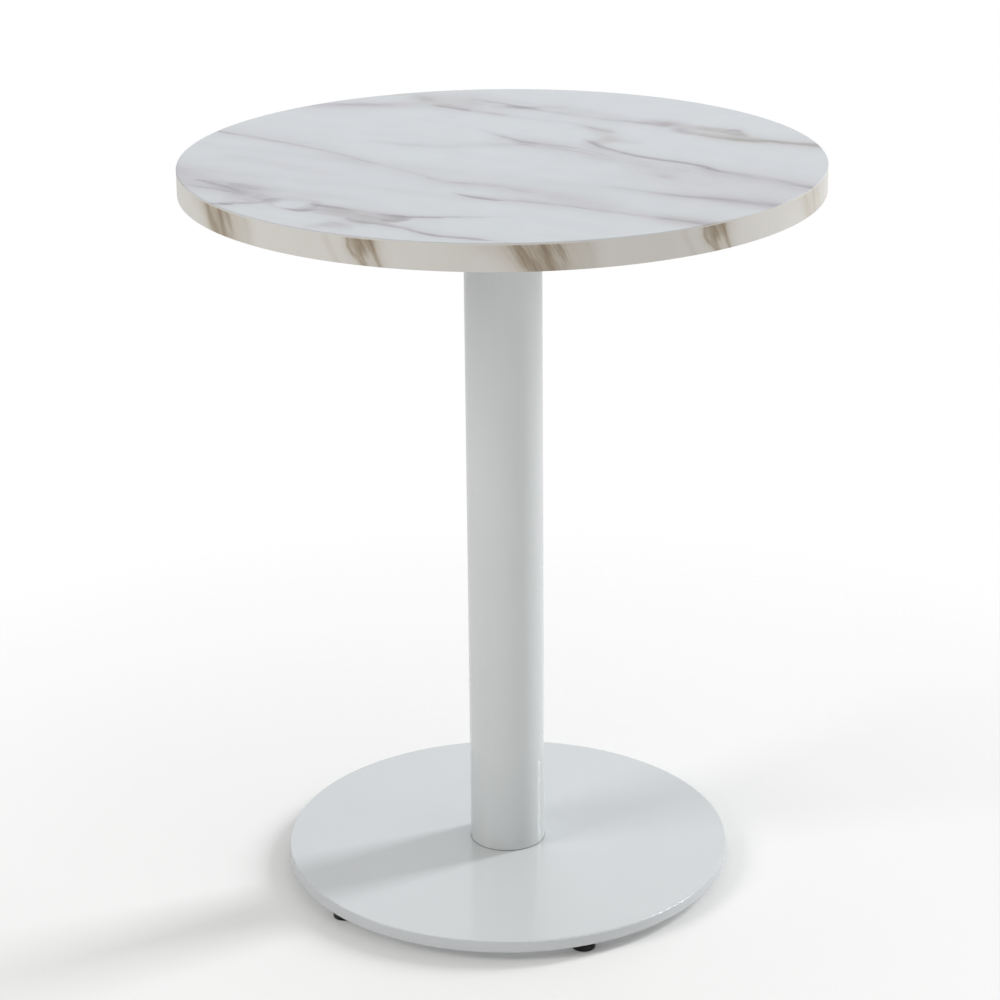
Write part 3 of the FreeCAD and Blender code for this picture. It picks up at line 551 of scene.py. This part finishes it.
def white_powder_coat():
    """White powder coat: semi-gloss, with a fine orange peel and a line of dust and painted shade
    at the weld.
    """
    nodes = Nodes("white_powder_coat")
    place = nodes.place()
    tone = nodes.vary(nodes.noise(place, 90, 3), 0, 1)
    colour = nodes.mix(tone, paint(212, 215, 217), paint(210, 213, 215))

    # how far it is from the circle where the column stands on the plate
    x, y, z = nodes.separate(place)
    radius = nodes.vector("LENGTH", nodes.combine(x, y, 0), output=1)
    out = nodes.math("SUBTRACT", radius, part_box("column_tube")[1].x / MM)
    up = nodes.math("SUBTRACT", z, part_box("column_tube")[0].z / MM)
    near = nodes.vector("LENGTH", nodes.combine(out, up, 0), output=1)
    # dust and painted contact shade in the joint where the column stands on the plate
    dust = nodes.spread(near, DUST_AND_SHADE_FULL, DUST_AND_SHADE_REACH, DUST_AND_SHADE_STRENGTH, 0)
    colour = nodes.mix(dust, colour, paint(128, 133, 132))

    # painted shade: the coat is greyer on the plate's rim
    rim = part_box("base_plate")[1].x / MM
    painted_rim_shade = nodes.spread(radius, rim - RIM_PAINTED_SHADE_START, rim - RIM_PAINTED_SHADE_END, 0, RIM_PAINTED_SHADE)
    colour = nodes.mix(painted_rim_shade, colour, paint(200, 203, 207))

    nodes.bump(nodes.noise(place, 7, 1), 0.004)
    roughness = nodes.vary(nodes.noise(place, 12, 2), 0.14, 0.17)
    return nodes.finish(colour, roughness, Specular_IOR_Level=0.3)


def zinc_plate():
    """Bright zinc: level marks as from turning, and a faint passivated tint."""
    nodes = Nodes("zinc_plate")
    place = nodes.place()
    tint = nodes.spread(nodes.noise(place, 6, 3), 0.35, 0.65, 0, 1)
    colour = nodes.mix(tint, paint(196, 198, 201), paint(206, 202, 190))
    marks = nodes.noise(nodes.vector("MULTIPLY", place, (0.3, 0.3, 4)), 0.9, 3)
    nodes.bump(marks, 0.01)
    roughness = nodes.vary(marks, 0.24, 0.42)
    return nodes.finish(colour, roughness, Metallic=1.0)


def black_nylon():
    """Moulded black nylon with a fine spark-eroded texture and scuffs."""
    nodes = Nodes("black_nylon")
    place = nodes.place()
    scuffs = nodes.spread(nodes.noise(place, 3, 5, 0.7), 0.62, 0.8, 0, 0.35)
    colour = nodes.mix(scuffs, paint(20, 20, 21), paint(52, 52, 53))
    nodes.bump(nodes.noise(place, 0.3, 2), 0.02)
    roughness = nodes.vary(nodes.noise(place, 1.2, 3), 0.42, 0.6)
    return nodes.finish(colour, roughness, Specular_IOR_Level=0.4)


def white_backing():
    """Plain white backing laminate with a fine pearl texture."""
    nodes = Nodes("white_backing")
    place = nodes.place()
    tone = nodes.vary(nodes.noise(place, 40, 3), 0, 1)
    colour = nodes.mix(tone, paint(211, 211, 209), paint(206, 206, 203))
    nodes.bump(nodes.noise(place, 0.8, 2), 0.03)
    roughness = nodes.vary(nodes.noise(place, 2, 2), 0.5, 0.62)
    return nodes.finish(colour, roughness, Specular_IOR_Level=0.35)


def chipboard():
    """Pressed wood chips of mixed tone."""
    nodes = Nodes("chipboard")
    place = nodes.place()
    chips = nodes.add("ShaderNodeTexVoronoi", {
        "Vector": nodes.vector("MULTIPLY", place, (1, 2.2, 3)), "Scale": 1 / 4}, "Color")
    shade = nodes.separate(chips)[0]
    dust = nodes.noise(place, 0.6, 3)
    colour = nodes.mix(shade, paint(196, 164, 118), paint(148, 112, 70))
    colour = nodes.mix(nodes.spread(dust, 0.5, 0.7, 0, 0.5), colour, paint(120, 88, 54))
    nodes.bump(shade, 0.15)
    return nodes.finish(colour, nodes.vary(dust, 0.75, 0.9))


# The floor fades into the white room between these two distances from the column, in metres.
FLOOR_SOLID = 0.3
FLOOR_END = 0.95
FLOOR_SIDES = 96
# How strongly it glows below the base plate, so that the plate's underside isn't black.
FLOOR_GLOW = 0.26
# The shares of the base plate's radius at which the glow starts to fade and is gone.
GLOW_FULL = 0.8
GLOW_END = 0.96


def studio_floor():
    """A plain pale floor, which is clear from below so that the table's underside shows."""
    nodes = Nodes("studio_floor")
    place = nodes.place()
    tone = nodes.vary(nodes.noise(place, 700, 2), 0, 1)
    colour = nodes.mix(tone, (0.97, 0.97, 0.97, 1), (0.96, 0.96, 0.96, 1))
    nodes.finish(colour, 0.9, Specular_IOR_Level=0.0)
    away = nodes.vector("LENGTH", place, output=1)
    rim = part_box("base_plate")[1].x / MM
    glow = nodes.spread(away, rim * GLOW_FULL, rim * GLOW_END, FLOOR_GLOW, 0)
    nodes.put(nodes.shader.inputs["Emission Strength"], glow)
    clear = nodes.tree.nodes.new("ShaderNodeBsdfTransparent")
    below = nodes.add("ShaderNodeNewGeometry", {}, "Backfacing")
    faded = nodes.spread(away, FLOOR_SOLID / MM, FLOOR_END / MM, 0, 1)
    mixed = nodes.add("ShaderNodeMixShader", {
        0: nodes.math("MAXIMUM", below, faded), 1: nodes.shader.outputs[0],
        2: clear.outputs[0]})
    nodes.put(nodes.output.inputs[0], mixed)
    return nodes.material


# ---------------------------------------------------------------- pieces

# How far the laminate turns down over the rim, the band's lower rounding, and how far from a
# rounding the flat face keeps its own line of points, in metres.
LIP_HEIGHT = 0.0009
BAND_ROUND = 0.0005
FLAT_MARGIN = 0.0001
# How many flats a turned piece has round it, and from what angle an edge is sharp.
LATHE_TURNS = 360
SHARP_ANGLE = math.radians(40)


def lathe(name, section, material, turns=LATHE_TURNS):
    """A closed solid of revolution about Z from its section, (radius, height) in metres.

    The section runs anticlockwise. A point on the axis becomes a single vertex.
    """
    mesh = bpy.data.meshes.new(name)
    shape = bmesh.new()
    rings = []
    for radius, height in section:
        if radius == 0:
            rings.append([shape.verts.new((0, 0, height))])
            continue
        angles = (2 * math.pi * i / turns for i in range(turns))
        rings.append([shape.verts.new((radius * math.cos(a), radius * math.sin(a), height))
                      for a in angles])
    for lower, upper in zip(rings, rings[1:] + rings[:1]):
        if len(lower) == len(upper) == 1:
            continue
        for i in range(turns):
            j = (i + 1) % turns
            corners = [lower[i % len(lower)], lower[j % len(lower)],
                       upper[j % len(upper)], upper[i % len(upper)]]
            shape.faces.new(dict.fromkeys(corners))
    bmesh.ops.recalc_face_normals(shape, faces=shape.faces)
    shape.to_mesh(mesh)
    shape.free()
    mesh.shade_smooth()
    mesh.set_sharp_from_angle(angle=SHARP_ANGLE)
    mesh.materials.append(material)
    piece = bpy.data.objects.new(name, mesh)
    bpy.context.scene.collection.objects.link(piece)
    return piece


def rounded(corner, start, end, radius, steps=8):
    """Points of a quarter round at a section's corner, from one outward way to the other."""
    start = Vector(start)
    end = Vector(end)
    centre = Vector(corner) - radius * (start + end)
    turns = (math.pi / 2 * i / steps for i in range(steps + 1))
    return [tuple(centre + radius * (math.cos(a) * start + math.sin(a) * end)) for a in turns]


def add_top(made):
    """The laminate, turned down over the rounded rim, and the edge band below its lip."""
    low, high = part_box("top_laminate")
    under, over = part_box("edge_band")
    rim = over.x
    band = rim - high.x
    lip = high.z - LIP_HEIGHT
    skin = lathe("marble_skin", [
        (0, low.z), (high.x, low.z), (high.x, lip), (rim, lip),
        *rounded((rim, high.z), (1, 0), (0, 1), LIP_HEIGHT),
        (rim - LIP_HEIGHT - FLAT_MARGIN, high.z), (0, high.z),
    ], made["marble_laminate"])
    edging = lathe("marble_edge", [
        (rim - band, under.z), (rim - BAND_ROUND - FLAT_MARGIN, under.z),
        *rounded((rim, under.z), (0, -1), (1, 0), BAND_ROUND),
        (rim, lip), (rim - band, lip),
    ], made["marble_edging"])
    for piece, node, slot in ((skin, "top_laminate", "marble_laminate"),
                              (edging, "edge_band", "marble_edging")):
        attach(piece, "table")
        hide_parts(node)


def floor():
    """A round floor that reaches as far as it shows."""
    mesh = bpy.data.meshes.new("floor")
    shape = bmesh.new()
    bmesh.ops.create_circle(shape, cap_ends=True, segments=FLOOR_SIDES, radius=FLOOR_END)
    shape.to_mesh(mesh)
    shape.free()
    mesh.materials.append(studio_floor())
    ground = bpy.data.objects.new("floor", mesh)
    bpy.context.scene.collection.objects.link(ground)


def dress_frame():
    """Gives every CAD node the material of its slot in the record."""
    makers = {
        "marble_laminate": marble_laminate, "marble_edging": marble_edging,
        "white_backing": white_backing, "chipboard": chipboard,
        "white_steel": white_powder_coat, "zinc_steel": zinc_plate,
        "black_nylon": black_nylon,
    }
    made = {slot: make() for slot, make in makers.items()}
    for part in frame["record"]["subparts"]:
        for slot in frame["nodes"][part["node"]].material_slots:
            slot.material = made[part["material_slot"]]
    return made


# ---------------------------------------------------------------- light and camera

# The room's light by direction: all round, plus what is added towards +X, +Y and +Z. A minus
# makes that side darker.
ROOM_ALL = (0.605, 0.595, 0.58)
ROOM_RIGHT = (0.24, 0.24, 0.24)
ROOM_BACK = (-0.045, -0.03, -0.02)
ROOM_ABOVE = (-0.2, -0.19, -0.18)
# The light from below, which a floor beyond the made one would send up.
ROOM_BELOW = (0.8, 0.79, 0.77, 1)

# Upright soft boxes: azimuth, distance, width, lowest, highest, watts, colour.
SOFT_BOXES = {
    "key": (27, 7.2, 1.4, 2.25, 7.65, 453, (0.97, 1, 1)),
    "fill": (205, 6, 3, 2.65, 6.65, 200, (1, 1, 0.97)),
    "back": (90, 5, 5, 0.65, 4.65, 46, (0.97, 1, 1.1)),
}


def room_light():
    """White studio walls, brighter to the right. The camera sees plain white behind the table."""
    world = bpy.data.worlds.new("room")
    world.use_nodes = True
    bpy.context.scene.world = world
    tree = world.node_tree
    tree.nodes.clear()

    def add(kind, **settings):
        node = tree.nodes.new(kind)
        for name, setting in settings.items():
            setattr(node, name, setting)
        return node

    way = add("ShaderNodeTexCoord").outputs["Generated"]
    split = add("ShaderNodeSeparateXYZ")
    tree.links.new(way, split.inputs[0])
    light = None
    for axis, colour in enumerate((ROOM_RIGHT, ROOM_BACK, ROOM_ABOVE)):
        step = add("ShaderNodeVectorMath", operation="MULTIPLY_ADD")
        tree.links.new(split.outputs[axis], step.inputs[0])
        step.inputs[1].default_value = colour
        if light is None:
            step.inputs[2].default_value = ROOM_ALL
        else:
            tree.links.new(light, step.inputs[2])
        light = step.outputs[0]
    under = add("ShaderNodeMath", operation="LESS_THAN")
    tree.links.new(split.outputs[2], under.inputs[0])
    under.inputs[1].default_value = 0
    whole = add("ShaderNodeMix", data_type="RGBA")
    tree.links.new(under.outputs[0], whole.inputs["Factor"])
    tree.links.new(light, whole.inputs[6])
    whole.inputs[7].default_value = ROOM_BELOW
    walls = add("ShaderNodeBackground")
    tree.links.new(whole.outputs[2], walls.inputs["Color"])
    seen = add("ShaderNodeBackground")
    seen.inputs["Color"].default_value = (1, 1, 1, 1)
    rays = add("ShaderNodeLightPath")
    choose = add("ShaderNodeMixShader")
    tree.links.new(rays.outputs["Is Camera Ray"], choose.inputs[0])
    tree.links.new(walls.outputs[0], choose.inputs[1])
    tree.links.new(seen.outputs[0], choose.inputs[2])
    out = add("ShaderNodeOutputWorld")
    tree.links.new(choose.outputs[0], out.inputs[0])


def soft_box(name, azimuth, distance, width, low, high, power, colour):
    """An upright soft box that faces the table; the azimuth is as the print lies."""
    light = bpy.data.lights.new(name, "AREA")
    light.shape = "RECTANGLE"
    light.size = width
    light.size_y = high - low
    light.energy = power
    light.color = colour
    box = bpy.data.objects.new(name, light)
    bpy.context.scene.collection.objects.link(box)
    turn = math.radians(azimuth) + PRINT_TURN
    box.location = (distance * math.cos(turn), distance * math.sin(turn), (low + high) / 2)
    towards = Vector((-math.cos(turn), -math.sin(turn), 0))
    box.rotation_euler = towards.to_track_quat("-Z", "Y").to_euler()
    box.visible_camera = False


def camera():
    """Where the photographer stood: in front, and above the top."""
    data = bpy.data.cameras.new("camera")
    data.lens = CAMERA_LENS
    data.sensor_width = SENSOR_WIDTH
    eye = bpy.data.objects.new("camera", data)
    bpy.context.scene.collection.objects.link(eye)
    heading = PRINT_TURN - CAMERA_AIM_RIGHT
    stand = Matrix.Rotation(PRINT_TURN, 4, "Z") @ Matrix.Translation(
        (0, -CAMERA_DISTANCE, CAMERA_HEIGHT))
    look = (Matrix.Rotation(heading, 4, "Z")
            @ Matrix.Rotation(math.pi / 2 - CAMERA_AIM_DOWN, 4, "X")
            @ Matrix.Rotation(CAMERA_ROLL, 4, "Z"))
    eye.matrix_world = Matrix.Translation(stand.translation) @ look
    bpy.context.scene.camera = eye


def main():
    add_top(dress_frame())
    floor()
    room_light()
    for name, settings in SOFT_BOXES.items():
        soft_box(name, *settings)
    camera()
    view = bpy.context.scene.view_settings
    view.view_transform = "Standard"


main()
